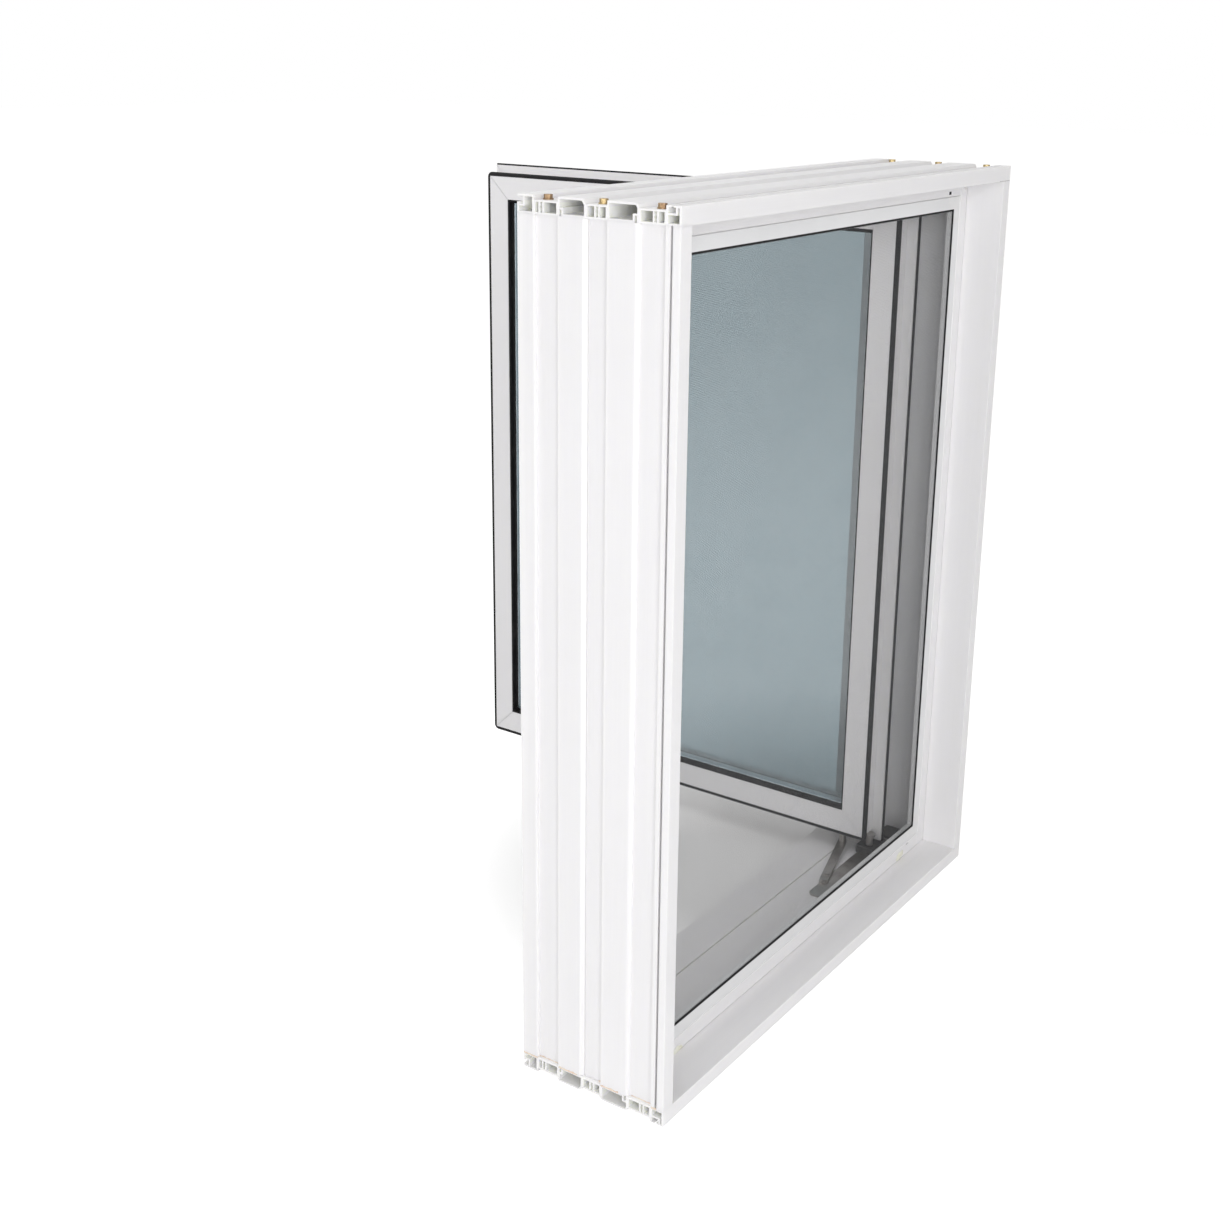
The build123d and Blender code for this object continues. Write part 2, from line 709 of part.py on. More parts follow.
with BuildPart() as lower_shoe:
    with BuildSketch(Plane.XY.offset(track_top)):
        with Locations((shoe_mid_x, track_y)):
            RectangleRounded(shoe_long, shoe_wide, shoe_corner)
    extrude(amount=shoe_high)
    chamfer(lower_shoe.edges().group_by(Axis.Z)[-1], length=shoe_edge)
    with BuildSketch(Plane.XY.offset(frame_thick)):
        with Locations((shoe_mid_x, track_y + skirt_y), (shoe_mid_x, track_y - skirt_y)):
            Rectangle(shoe_long - shoe_skirt_short, skirt_wide)
    extrude(amount=track_thick)

with BuildPart() as lower_end_block:
    with BuildSketch(Plane.XY.offset(track_top)):
        with Locations((end_block_mid_x, track_y)):
            Rectangle(end_block_long, end_block_wide)
    extrude(amount=end_block_high)
    chamfer(lower_end_block.edges().group_by(Axis.Z)[-1].group_by(Axis.X)[0], length=end_block_edge)

with BuildPart() as lower_pins:
    with BuildSketch(Plane.XY.offset(track_top)):
        with Locations((support_pivot_x, support_pivot_y), (rivet_x, rivet_y)):
            Circle(pivot_bore - pivot_play)
    extrude(amount=arm_thick)
    with BuildSketch(Plane.XY.offset(support_top)):
        with Locations((support_pivot_x, support_pivot_y), (rivet_x, rivet_y)):
            Circle(rivet_radius)
    extrude(amount=rivet_high)
    with BuildSketch(Plane.XY.offset(support_top)):
        with Locations((arm_x, support_end_y)):
            Circle(pivot_radius)
    extrude(amount=sash_arm_under - support_top)
    with BuildSketch(Plane.XY.offset(track_top + shoe_high)):
        with Locations((arm_x, shoe_pivot_y)):
            Circle(pivot_radius)
    extrude(amount=sash_arm_under - track_top - shoe_high)

# Upper hinge set, the lower one turned over
middle_height = Plane.XY.offset(frame_height / 2)
with BuildPart() as upper_track:
    add(lower_track.part.mirror(middle_height))
with BuildPart() as upper_support_arm:
    add(lower_support_arm.part.mirror(middle_height))
with BuildPart() as upper_sash_arm:
    add(lower_sash_arm.part.mirror(middle_height))
with BuildPart() as upper_shoe:
    add(lower_shoe.part.mirror(middle_height))
with BuildPart() as upper_end_block:
    add(lower_end_block.part.mirror(middle_height))
with BuildPart() as upper_pins:
    add(lower_pins.part.mirror(middle_height))

os.makedirs("parts", exist_ok=True)
head.part.label = "head"
sill.part.label = "sill"
left_jamb.part.label = "left_jamb"
right_jamb.part.label = "right_jamb"
head_screws.part.label = "head_screws"
sill_screws.part.label = "sill_screws"
left_stop.part.label = "left_stop"
right_stop.part.label = "right_stop"
bottom_stop.part.label = "bottom_stop"
top_stop.part.label = "top_stop"
screen_left_bar.part.label = "screen_left_bar"
screen_right_bar.part.label = "screen_right_bar"
screen_bottom_bar.part.label = "screen_bottom_bar"
screen_top_bar.part.label = "screen_top_bar"
screen_corners.part.label = "screen_corners"
screen_mesh.part.label = "screen_mesh"
screen_spline.part.label = "screen_spline"
sash_hinge_stile.part.label = "sash_hinge_stile"
sash_lock_stile.part.label = "sash_lock_stile"
sash_bottom_rail.part.label = "sash_bottom_rail"
sash_top_rail.part.label = "sash_top_rail"
bead_hinge_side.part.label = "bead_hinge_side"
bead_lock_side.part.label = "bead_lock_side"
bead_bottom.part.label = "bead_bottom"
bead_top.part.label = "bead_top"
sash_bulb_seal.part.label = "sash_bulb_seal"
flange_seal.part.label = "flange_seal"
glazing_liner.part.label = "glazing_liner"
inner_glass.part.label = "inner_glass"
outer_glass.part.label = "outer_glass"
glass_spacer.part.label = "glass_spacer"
edge_sealant.part.label = "edge_sealant"
lower_track.part.label = "lower_track"
lower_support_arm.part.label = "lower_support_arm"
lower_sash_arm.part.label = "lower_sash_arm"
lower_shoe.part.label = "lower_shoe"
lower_end_block.part.label = "lower_end_block"
lower_pins.part.label = "lower_pins"
upper_track.part.label = "upper_track"
upper_support_arm.part.label = "upper_support_arm"
upper_sash_arm.part.label = "upper_sash_arm"
upper_shoe.part.label = "upper_shoe"
upper_end_block.part.label = "upper_end_block"
upper_pins.part.label = "upper_pins"
export_step(head.part, "parts/head.step")
export_step(sill.part, "parts/sill.step")
export_step(left_jamb.part, "parts/left_jamb.step")
export_step(right_jamb.part, "parts/right_jamb.step")
export_step(head_screws.part, "parts/head_screws.step")
export_step(sill_screws.part, "parts/sill_screws.step")
export_step(left_stop.part, "parts/left_stop.step")
export_step(right_stop.part, "parts/right_stop.step")
export_step(bottom_stop.part, "parts/bottom_stop.step")
export_step(top_stop.part, "parts/top_stop.step")
export_step(screen_left_bar.part, "parts/screen_left_bar.step")
export_step(screen_right_bar.part, "parts/screen_right_bar.step")
export_step(screen_bottom_bar.part, "parts/screen_bottom_bar.step")
export_step(screen_top_bar.part, "parts/screen_top_bar.step")
export_step(screen_corners.part, "parts/screen_corners.step")
export_step(screen_mesh.part, "parts/screen_mesh.step")
export_step(screen_spline.part, "parts/screen_spline.step")
export_step(sash_hinge_stile.part, "parts/sash_hinge_stile.step")
export_step(sash_lock_stile.part, "parts/sash_lock_stile.step")
export_step(sash_bottom_rail.part, "parts/sash_bottom_rail.step")
export_step(sash_top_rail.part, "parts/sash_top_rail.step")
export_step(bead_hinge_side.part, "parts/bead_hinge_side.step")
export_step(bead_lock_side.part, "parts/bead_lock_side.step")
export_step(bead_bottom.part, "parts/bead_bottom.step")
export_step(bead_top.part, "parts/bead_top.step")
export_step(sash_bulb_seal.part, "parts/sash_bulb_seal.step")
export_step(flange_seal.part, "parts/flange_seal.step")
export_step(glazing_liner.part, "parts/glazing_liner.step")
export_step(inner_glass.part, "parts/inner_glass.step")
export_step(outer_glass.part, "parts/outer_glass.step")
export_step(glass_spacer.part, "parts/glass_spacer.step")
export_step(edge_sealant.part, "parts/edge_sealant.step")
export_step(lower_track.part, "parts/lower_track.step")
export_step(lower_support_arm.part, "parts/lower_support_arm.step")
export_step(lower_sash_arm.part, "parts/lower_sash_arm.step")
export_step(lower_shoe.part, "parts/lower_shoe.step")
export_step(lower_end_block.part, "parts/lower_end_block.step")
export_step(lower_pins.part, "parts/lower_pins.step")
export_step(upper_track.part, "parts/upper_track.step")
export_step(upper_support_arm.part, "parts/upper_support_arm.step")
export_step(upper_sash_arm.part, "parts/upper_sash_arm.step")
export_step(upper_shoe.part, "parts/upper_shoe.step")
export_step(upper_end_block.part, "parts/upper_end_block.step")
export_step(upper_pins.part, "parts/upper_pins.step")
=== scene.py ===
"""Looks of the open egress casement window: finishes, screen, sealant, light, floor, camera."""

import math

import bmesh
import bpy
from mathutils import Matrix, Vector, noise


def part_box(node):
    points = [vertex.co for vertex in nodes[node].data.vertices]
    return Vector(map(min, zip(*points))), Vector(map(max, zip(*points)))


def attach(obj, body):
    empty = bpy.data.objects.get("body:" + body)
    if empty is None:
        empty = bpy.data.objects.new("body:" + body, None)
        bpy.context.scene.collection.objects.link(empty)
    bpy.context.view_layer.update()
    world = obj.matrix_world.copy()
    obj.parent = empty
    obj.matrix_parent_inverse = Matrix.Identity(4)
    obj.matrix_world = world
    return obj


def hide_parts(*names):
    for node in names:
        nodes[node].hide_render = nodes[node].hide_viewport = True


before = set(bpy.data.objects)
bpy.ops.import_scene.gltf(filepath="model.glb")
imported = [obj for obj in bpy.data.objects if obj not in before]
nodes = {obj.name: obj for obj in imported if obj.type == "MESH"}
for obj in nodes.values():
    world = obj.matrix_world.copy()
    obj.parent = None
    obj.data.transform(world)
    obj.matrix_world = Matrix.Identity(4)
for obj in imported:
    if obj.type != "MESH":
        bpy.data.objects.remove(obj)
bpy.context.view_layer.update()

# Camera of the photograph: place and directions in metres, lens and sensor in millimetres
CAMERA_PLACE = Vector((-1.42633, -0.77868, 0.97027))
CAMERA_RIGHT = Vector((0.565689, -0.824469, 0.015708))
CAMERA_FORWARD = Vector((0.793382, 0.538969, -0.282943))
CAMERA_LENS = 48.1134
CAMERA_SHIFT = (-0.033547, -0.067188)
SENSOR_WIDTH = 36.0
CLIP_START = 0.05
CLIP_END = 60.0

# Light levels: a level of 1 shows a white surface as white
AMBIENT_LEVEL = 0.52
AMBIENT_COLOUR = (1.0, 0.99, 0.985, 1)
WHITE = (1, 1, 1, 1)
KEY_LEVEL = 0.485
KEY_DIRECTION = Vector((-0.74, -0.62, 0.27)).normalized()
FILL_LEVEL = 0.28
FILL_DIRECTION = Vector((-0.22, 0.62, 0.75)).normalized()
LAMP_DISTANCE = 2.6
LAMP_SIZE = 1.6
OBJECT_MIDDLE = Vector((0.0, 0.1, 0.42))

# The floor: white is added to it outside the round place at the window, and in front of it
FLOOR_HALF = 20.0
FLOOR_COLOUR = (0.93, 0.93, 0.93, 1)
FLOOR_SHADE_MIDDLE = (0.12, 0.16, 0.0)
FLOOR_SHADE_INNER = 0.10
FLOOR_SHADE_OUTER = 0.40
FLOOR_FRONT = (-0.05, 0.12)
FLOOR_LIFT = 0.56

# Screen cloth, in metres; each layer lies that share of a strand's radius from the middle
STRAND_WIDTH = 0.00016
STRAND_PITCH_X = 0.00141
STRAND_PITCH_Z = 0.00159
STRAND_SIDES = 6
STRAND_APART = 0.9


def view_settings():
    """Plain tone response, so that a colour shows as it is written."""
    scene = bpy.context.scene
    scene.view_settings.view_transform = "Standard"


def add_camera():
    """The camera that was fitted to the edges of the window in the photograph."""
    data = bpy.data.cameras.new("photo_camera")
    data.sensor_fit = "HORIZONTAL"
    data.sensor_width = SENSOR_WIDTH
    data.lens = CAMERA_LENS
    data.shift_x, data.shift_y = CAMERA_SHIFT
    data.clip_start = CLIP_START
    data.clip_end = CLIP_END
    camera = bpy.data.objects.new("photo_camera", data)
    up = CAMERA_RIGHT.cross(CAMERA_FORWARD)
    turn = Matrix((CAMERA_RIGHT, up, -CAMERA_FORWARD)).transposed().to_4x4()
    camera.matrix_world = Matrix.Translation(CAMERA_PLACE) @ turn
    bpy.context.scene.collection.objects.link(camera)
    bpy.context.scene.camera = camera


class Tree:
    """A small helper that adds and links the nodes of one node tree."""

    def __init__(self, owner):
        owner.use_nodes = True
        self.tree = owner.node_tree
        self.tree.nodes.clear()

    def add(self, kind, **values):
        """A new node, with values on the inputs of those names."""
        made = self.tree.nodes.new(kind)
        for name, value in values.items():
            self.put(value, made.inputs[name.title()])
        return made

    def put(self, value, socket):
        """Links an output to the socket, or sets a plain value on it."""
        if isinstance(value, bpy.types.NodeSocket):
            self.tree.links.new(value, socket)
        else:
            socket.default_value = value

    def math(self, operation, first, second=0.0):
        """One Math node, and its output."""
        made = self.tree.nodes.new("ShaderNodeMath")
        made.operation = operation
        self.put(first, made.inputs[0])
        self.put(second, made.inputs[1])
        return made.outputs[0]

    def spread(self, value, low, high, low_out=0.0, high_out=1.0):
        """A value taken from one range to another, held at the ends."""
        made = self.tree.nodes.new("ShaderNodeMapRange")
        self.put(value, made.inputs["Value"])
        made.inputs["From Min"].default_value = low
        made.inputs["From Max"].default_value = high
        made.inputs["To Min"].default_value = low_out
        made.inputs["To Max"].default_value = high_out
        return made.outputs[0]

    def seen_directly(self):
        """1 for camera, glossy and transmission rays, 0 for the light that falls on surfaces."""
        path = self.tree.nodes.new("ShaderNodeLightPath")
        glossy, through = path.outputs["Is Glossy Ray"], path.outputs["Is Transmission Ray"]
        mirror = self.math("MAXIMUM", glossy, through)
        return self.math("MAXIMUM", mirror, path.outputs["Is Camera Ray"])


def add_world():
    """White where it is seen, and a plain even light where it falls on surfaces."""
    world = bpy.data.worlds.new("studio")
    bpy.context.scene.world = world
    t = Tree(world)
    seen = t.seen_directly()
    even = t.add("ShaderNodeBackground", color=AMBIENT_COLOUR, strength=AMBIENT_LEVEL)
    white = t.add("ShaderNodeBackground", color=WHITE, strength=1.0)
    mixed = t.tree.nodes.new("ShaderNodeMixShader")
    t.put(seen, mixed.inputs[0])
    t.put(even.outputs[0], mixed.inputs[1])
    t.put(white.outputs[0], mixed.inputs[2])
    out = t.tree.nodes.new("ShaderNodeOutputWorld")
    t.put(mixed.outputs[0], out.inputs["Surface"])


def add_lamp(name, direction, level):
    """A large soft lamp that shines on the window from that direction."""
    data = bpy.data.lights.new(name, "AREA")
    data.shape = "SQUARE"
    data.size = LAMP_SIZE
    data.energy = level * (math.pi * LAMP_DISTANCE) ** 2
    lamp = bpy.data.objects.new(name, data)
    lamp.location = OBJECT_MIDDLE + direction * LAMP_DISTANCE
    lamp.rotation_mode = "QUATERNION"
    lamp.rotation_quaternion = (-direction).to_track_quat("-Z", "Y")
    bpy.context.scene.collection.objects.link(lamp)


def add_floor():
    """A plain pale floor that shows white and keeps the window's soft shadow."""
    made = bmesh.new()
    bmesh.ops.create_grid(made, x_segments=1, y_segments=1, size=FLOOR_HALF)
    floor = link_piece("studio_floor", made)
    material = bpy.data.materials.new("pale_floor")
    t = Tree(material)
    paper = t.add("ShaderNodeBsdfDiffuse", color=FLOOR_COLOUR)
    lift = t.add("ShaderNodeEmission", color=WHITE)
    place = t.tree.nodes.new("ShaderNodeTexCoord").outputs["Object"]
    away = t.tree.nodes.new("ShaderNodeVectorMath")
    away.operation = "DISTANCE"
    t.put(place, away.inputs[0])
    away.inputs[1].default_value = FLOOR_SHADE_MIDDLE
    apart = t.tree.nodes.new("ShaderNodeSeparateXYZ")
    t.put(place, apart.inputs[0])
    far = t.spread(away.outputs["Value"], FLOOR_SHADE_INNER, FLOOR_SHADE_OUTER, 0.0, FLOOR_LIFT)
    front = t.spread(apart.outputs["Y"], *FLOOR_FRONT, FLOOR_LIFT, 0.0)
    strength = t.math("MULTIPLY", t.seen_directly(), t.math("MAXIMUM", far, front))
    t.put(strength, lift.inputs["Strength"])
    both = t.tree.nodes.new("ShaderNodeAddShader")
    t.put(paper.outputs[0], both.inputs[0])
    t.put(lift.outputs[0], both.inputs[1])
    out = t.tree.nodes.new("ShaderNodeOutputMaterial")
    t.put(both.outputs[0], out.inputs["Surface"])
    floor.data.materials.append(material)


def link_piece(name, made):
    """Turns a bmesh into a linked mesh object."""
    data = bpy.data.meshes.new(name)
    made.to_mesh(data)
    made.free()
    piece = bpy.data.objects.new(name, data)
    bpy.context.scene.collection.objects.link(piece)
    return piece


# Scale of the die lines' pattern across and along the run
DIE_LINES_ACROSS = 60.0
DIE_LINES_ALONG = 0.8

# The sockets of a Mix node that mixes colours
MIX_FIRST = 6
MIX_SECOND = 7
MIX_RESULT = 2


class Finish(Tree):
    """A material with the pieces that every finish here shares."""

    def __init__(self, name, stretch=(1.0, 1.0, 1.0)):
        self.material = bpy.data.materials.new(name)
        super().__init__(self.material)
        out = self.tree.nodes.new("ShaderNodeOutputMaterial")
        self.surface = self.tree.nodes.new("ShaderNodeBsdfPrincipled")
        self.tree.links.new(self.surface.outputs[0], out.inputs["Surface"])
        place = self.tree.nodes.new("ShaderNodeTexCoord").outputs["Object"]
        mapping = self.tree.nodes.new("ShaderNodeMapping")
        mapping.inputs["Scale"].default_value = stretch
        self.tree.links.new(place, mapping.inputs["Vector"])
        self.place = place
        self.stretched = mapping.outputs[0]

    def set(self, **values):
        """Plain numbers and colours on the surface's own sockets."""
        for name, value in values.items():
            self.surface.inputs[name.replace("_", " ")].default_value = value

    def noise(self, scale, detail=3.0, rough=0.55, vector=None):
        """A noise pattern, whose scale counts its waves in a metre."""
        made = self.tree.nodes.new("ShaderNodeTexNoise")
        made.inputs["Scale"].default_value = scale
        made.inputs["Detail"].default_value = detail
        made.inputs["Roughness"].default_value = rough
        self.tree.links.new(vector if vector is not None else self.place, made.inputs["Vector"])
        return made.outputs[0]

    def blend(self, factor, first, second):
        """A colour between two colours."""
        made = self.tree.nodes.new("ShaderNodeMix")
        made.data_type = "RGBA"
        self.put(factor, made.inputs[0])
        for colour, socket in ((first, made.inputs[MIX_FIRST]), (second, made.inputs[MIX_SECOND])):
            self.put(colour if isinstance(colour, bpy.types.NodeSocket) else (*colour, 1), socket)
        return made.outputs[MIX_RESULT]

    def bump(self, height, distance, strength=1.0):
        """A fine relief of that height in metres."""
        made = self.tree.nodes.new("ShaderNodeBump")
        made.inputs["Strength"].default_value = strength
        made.inputs["Distance"].default_value = distance
        self.put(height, made.inputs["Height"])
        self.tree.links.new(made.outputs[0], self.surface.inputs["Normal"])

    def colour(self, output):
        """Links the surface's colour."""
        self.put(output, self.surface.inputs["Base Color"])

    def roughness(self, output):
        """Links the surface's roughness."""
        self.put(output, self.surface.inputs["Roughness"])


# Inner walls of the head and the sill: height from the window's middle, half length and depth
CELL_MIDDLE = 0.425
CELL_HEIGHTS = (0.4105, 0.4200)
CELL_HALF_LENGTH = 0.3318
CELL_DEPTHS = (-0.0565, 0.107)
# Painted light: a brighter, warmer vinyl colour on the cells' inner walls lifts the shade inside
# them
CELL_PAINTED_LIGHT_COLOUR = (0.945, 0.955, 0.890)

# How much light sinks into the vinyl, outside and in the cells
VINYL_GLOW = 0.40
CELL_GLOW = 1.0


def inner_walls(m):
    """1 on the walls of the hollow cells of the head and the sill, and 0 outside them."""
    apart = m.tree.nodes.new("ShaderNodeSeparateXYZ")
    m.put(m.place, apart.inputs[0])
    height = m.math("ABSOLUTE", m.math("SUBTRACT", apart.outputs["Z"], CELL_MIDDLE))
    band = m.math("MULTIPLY", m.math("GREATER_THAN", height, CELL_HEIGHTS[0]),
                  m.math("LESS_THAN", height, CELL_HEIGHTS[1]))
    depth = m.math("MULTIPLY", m.math("GREATER_THAN", apart.outputs["Y"], CELL_DEPTHS[0]),
                   m.math("LESS_THAN", apart.outputs["Y"], CELL_DEPTHS[1]))
    along = m.math("LESS_THAN", m.math("ABSOLUTE", apart.outputs["X"]), CELL_HALF_LENGTH)
    return m.math("MULTIPLY", m.math("MULTIPLY", band, depth), along)


def extruded_vinyl(name, along, clean, dull):
    """White vinyl with faint die lines along its run, soft handling marks and uneven gloss."""
    stretch = [DIE_LINES_ACROSS] * 3
    stretch["XYZ".index(along)] = DIE_LINES_ALONG
    m = Finish(name, stretch)
    lines = m.noise(9.0, 2.0, 0.5, m.stretched)
    cloud = m.noise(5.0, 3.0)
    grain = m.noise(1400.0, 2.0)
    marks = m.spread(m.noise(38.0, 5.0, 0.7), 0.60, 0.78)
    tone = m.math("ADD", m.math("MULTIPLY", lines, 0.35), m.math("MULTIPLY", cloud, 0.65))
    body = m.blend(m.spread(tone, 0.35, 0.65), clean, dull)
    outside = m.blend(m.math("MULTIPLY", marks, 0.05), body, tuple(c * 0.82 for c in dull))
    gloss = m.spread(m.math("ADD", cloud, m.math("MULTIPLY", marks, 0.1)), 0.3, 0.8, 0.38, 0.52)
    m.roughness(gloss)
    relief = m.math("ADD", m.math("MULTIPLY", lines, 0.6), m.math("MULTIPLY", grain, 0.4))
    m.bump(relief, 0.00003)
    m.set(IOR=1.5, Subsurface_Weight=VINYL_GLOW, Subsurface_Scale=0.005)
    m.set(Subsurface_Radius=(1.0, 1.0, 0.85))
    if along == "X":
        inside = inner_walls(m)
        # Painted light: the cells' inner walls take the brighter, warmer colour
        m.colour(m.blend(inside, outside, CELL_PAINTED_LIGHT_COLOUR))
        glow = m.spread(inside, 0.0, 1.0, VINYL_GLOW, CELL_GLOW)
        m.put(glow, m.surface.inputs["Subsurface Weight"])
    else:
        m.colour(outside)
    return m.material


def screen_enamel():
    """Baked white enamel on the roll-formed screen bars, with a fine orange peel."""
    m = Finish("screen_enamel")
    cloud = m.noise(9.0, 3.0)
    peel = m.noise(700.0, 1.0)
    m.colour(m.blend(m.spread(cloud, 0.35, 0.65), (0.80, 0.805, 0.815), (0.76, 0.765, 0.775)))
    m.roughness(m.spread(cloud, 0.3, 0.7, 0.28, 0.40))
    m.bump(peel, 0.00004)
    m.set(IOR=1.5, Coat_Weight=0.15, Coat_Roughness=0.2)
    return m.material


def moulded_plastic(name, light, dark, low_gloss, high_gloss):
    """Moulded plastic with a fine matt grain."""
    m = Finish(name)
    cloud = m.noise(60.0, 3.0)
    grain = m.noise(2200.0, 2.0)
    m.colour(m.blend(m.spread(cloud, 0.3, 0.7), light, dark))
    m.roughness(m.spread(cloud, 0.3, 0.7, low_gloss, high_gloss))
    m.bump(grain, 0.00005)
    m.set(IOR=1.48)
    return m.material


def black_rubber():
    """Extruded black seal rubber, dull, with a dusty bloom in places."""
    m = Finish("black_rubber")
    dust = m.spread(m.noise(55.0, 5.0, 0.65), 0.5, 0.8)
    grain = m.noise(1800.0, 3.0)
    m.colour(m.blend(m.math("MULTIPLY", dust, 0.30), (0.010, 0.010, 0.011), (0.075, 0.072, 0.068)))
    m.roughness(m.spread(dust, 0.0, 1.0, 0.60, 0.80))
    m.bump(grain, 0.00010)
    m.set(IOR=1.4, Specular_IOR_Level=0.25)
    return m.material


def brushed_steel():
    """Stainless hinge steel with brushing along the track, smears and a little grime."""
    m = Finish("hinge_steel", (3.0, 240.0, 240.0))
    lines = m.noise(8.0, 3.0, 0.6, m.stretched)
    darkening = m.spread(m.noise(70.0, 4.0, 0.65), 0.45, 0.75)
    steel = m.blend(m.spread(lines, 0.3, 0.7), (0.50, 0.48, 0.46), (0.34, 0.325, 0.31))
    m.colour(m.blend(m.math("MULTIPLY", darkening, 0.55), steel, (0.16, 0.14, 0.12)))
    m.roughness(m.spread(lines, 0.3, 0.7, 0.28, 0.46))
    m.bump(lines, 0.00004)
    m.set(Metallic=1.0)
    return m.material


def screw_brass():
    """Yellow passivated screws, browned more on some than on others."""
    m = Finish("screw_brass")
    which = m.spread(m.noise(14.0, 0.0), 0.42, 0.58)
    stain = m.spread(m.noise(420.0, 4.0, 0.7), 0.35, 0.65)
    plate = m.blend(which, (0.30, 0.19, 0.12), (0.62, 0.50, 0.26))
    m.colour(m.blend(m.math("MULTIPLY", stain, 0.5), plate, (0.16, 0.09, 0.055)))
    m.roughness(m.spread(stain, 0.0, 1.0, 0.30, 0.58))
    m.bump(m.noise(1500.0, 3.0), 0.00008)
    m.set(Metallic=1.0)
    return m.material


# Coated glass mirrors more than plain glass
PANE_IOR = 1.72
CLEAR_TONES = ((0.90, 0.93, 0.945), (0.885, 0.918, 0.935))
TINTED_TONES = ((0.228, 0.312, 0.343), (0.218, 0.300, 0.330))


def pane_glass(name, light, dark):
    """One pane of the sealed glazing, with a slight film."""
    m = Finish(name)
    film = m.noise(11.0, 3.0)
    m.colour(m.blend(m.spread(film, 0.3, 0.7), light, dark))
    m.roughness(m.spread(film, 0.3, 0.7, 0.0, 0.012))
    m.set(IOR=PANE_IOR, Transmission_Weight=1.0)
    return m.material


def spacer_metal():
    """Satin aluminium with rolling lines too fine to tell apart."""
    m = Finish("spacer_grey")
    cloud = m.noise(60.0, 3.0)
    m.colour(m.blend(m.spread(cloud, 0.3, 0.7), (0.84, 0.87, 0.89), (0.78, 0.81, 0.83)))
    m.roughness(m.spread(cloud, 0.3, 0.7, 0.34, 0.46))
    m.bump(m.noise(1800.0, 2.0), 0.00003)
    m.set(Metallic=1.0)
    return m.material


def screen_yarn():
    """Charcoal vinyl-coated yarn."""
    m = Finish("screen_yarn")
    cloud = m.noise(24.0, 4.0)
    m.colour(m.blend(m.spread(cloud, 0.3, 0.7), (0.135, 0.138, 0.142), (0.100, 0.103, 0.108)))
    m.roughness(m.spread(cloud, 0.3, 0.7, 0.42, 0.60))
    m.bump(m.noise(3500.0, 1.0), 0.00003)
    m.set(IOR=1.5)
    return m.material


def dress_nodes():
    """Gives every node its finish; a run along X, Y or Z has its die lines that way."""
    clean, dull = (0.910, 0.903, 0.905), (0.885, 0.877, 0.878)
    pale, less_pale = (0.80, 0.80, 0.80), (0.75, 0.75, 0.755)
    soot, less_soot = (0.045, 0.043, 0.042), (0.03, 0.029, 0.028)
    ends = ("lower", "upper")
    metal_parts = ("track", "support_arm", "sash_arm", "pins")
    plastic_parts = ("shoe", "end_block")
    vinyl = {run: extruded_vinyl(f"frame_vinyl_{run.lower()}", run, clean, dull) for run in "XYZ"}
    enamel = screen_enamel()
    corner = moulded_plastic("screen_corner_plastic", pale, less_pale, 0.36, 0.5)
    rubber = black_rubber()
    clear = pane_glass("clear_glass", *CLEAR_TONES)
    tinted = pane_glass("tinted_glass", *TINTED_TONES)
    steel = brushed_steel()
    dark = moulded_plastic("hinge_plastic", soot, less_soot, 0.4, 0.55)
    finishes = {
        vinyl["X"]: ["head", "sill", "bottom_stop", "top_stop"],
        vinyl["Y"]: ["sash_bottom_rail", "sash_top_rail", "bead_bottom", "bead_top"],
        vinyl["Z"]: [
            "left_jamb", "right_jamb", "left_stop", "right_stop",
            "sash_hinge_stile", "sash_lock_stile", "bead_hinge_side", "bead_lock_side",
        ],
        enamel: ["screen_left_bar", "screen_right_bar", "screen_bottom_bar", "screen_top_bar"],
        corner: ["screen_corners"],
        rubber: [
            "screen_spline", "sash_bulb_seal", "flange_seal", "glazing_liner", "edge_sealant",
        ],
        clear: ["inner_glass"],
        tinted: ["outer_glass"],
        screw_brass(): ["head_screws", "sill_screws"],
        steel: [f"{end}_{part}" for end in ends for part in metal_parts],
        dark: [f"{end}_{part}" for end in ends for part in plastic_parts],
    }
    for finish, names in finishes.items():
        for name in names:
            data = nodes[name].data
            data.materials.clear()
            data.materials.append(finish)


def strand(made, start, end, radius, sides):
    """One straight strand as a thin closed prism."""
    line = (end - start).normalized()
    side = line.orthogonal().normalized()
    other = line.cross(side)
    rings = []
    for point in (start, end):
        ring = []
        for k in range(sides):
            turn = 2 * math.pi * k / sides
            outward = side * math.cos(turn) + other * math.sin(turn)
            ring.append(made.verts.new(point + outward * radius))
        rings.append(ring)
    for k in range(sides):
        after = (k + 1) % sides
        made.faces.new((rings[0][k], rings[0][after], rings[1][after], rings[1][k]))
    made.faces.new(list(reversed(rings[0])))
    made.faces.new(rings[1])


def woven_screen():
    """The insect screen as crossing strands, in the place of the plain sheet."""
    low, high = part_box("screen_mesh")
    radius = STRAND_WIDTH / 2
    middle = (low[1] + high[1]) / 2
    front, back = middle - radius * STRAND_APART, middle + radius * STRAND_APART
    made = bmesh.new()
    across = int((high[0] - low[0]) / STRAND_PITCH_X)
    upward = int((high[2] - low[2]) / STRAND_PITCH_Z)
    for k in range(across + 1):
        x = low[0] + radius + k * (high[0] - low[0] - 2 * radius) / across
        strand(made, Vector((x, front, low[2])), Vector((x, front, high[2])), radius, STRAND_SIDES)
    for k in range(upward + 1):
        z = low[2] + radius + k * (high[2] - low[2] - 2 * radius) / upward
        strand(made, Vector((low[0], back, z)), Vector((high[0], back, z)), radius, STRAND_SIDES)
    bmesh.ops.recalc_face_normals(made, faces=made.faces)
    piece = link_piece("woven_screen", made)
    piece.data.materials.append(screen_yarn())
    for face in piece.data.polygons:
        face.use_smooth = len(face.vertices) == 4
    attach(piece, "root")
    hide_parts("screen_mesh")


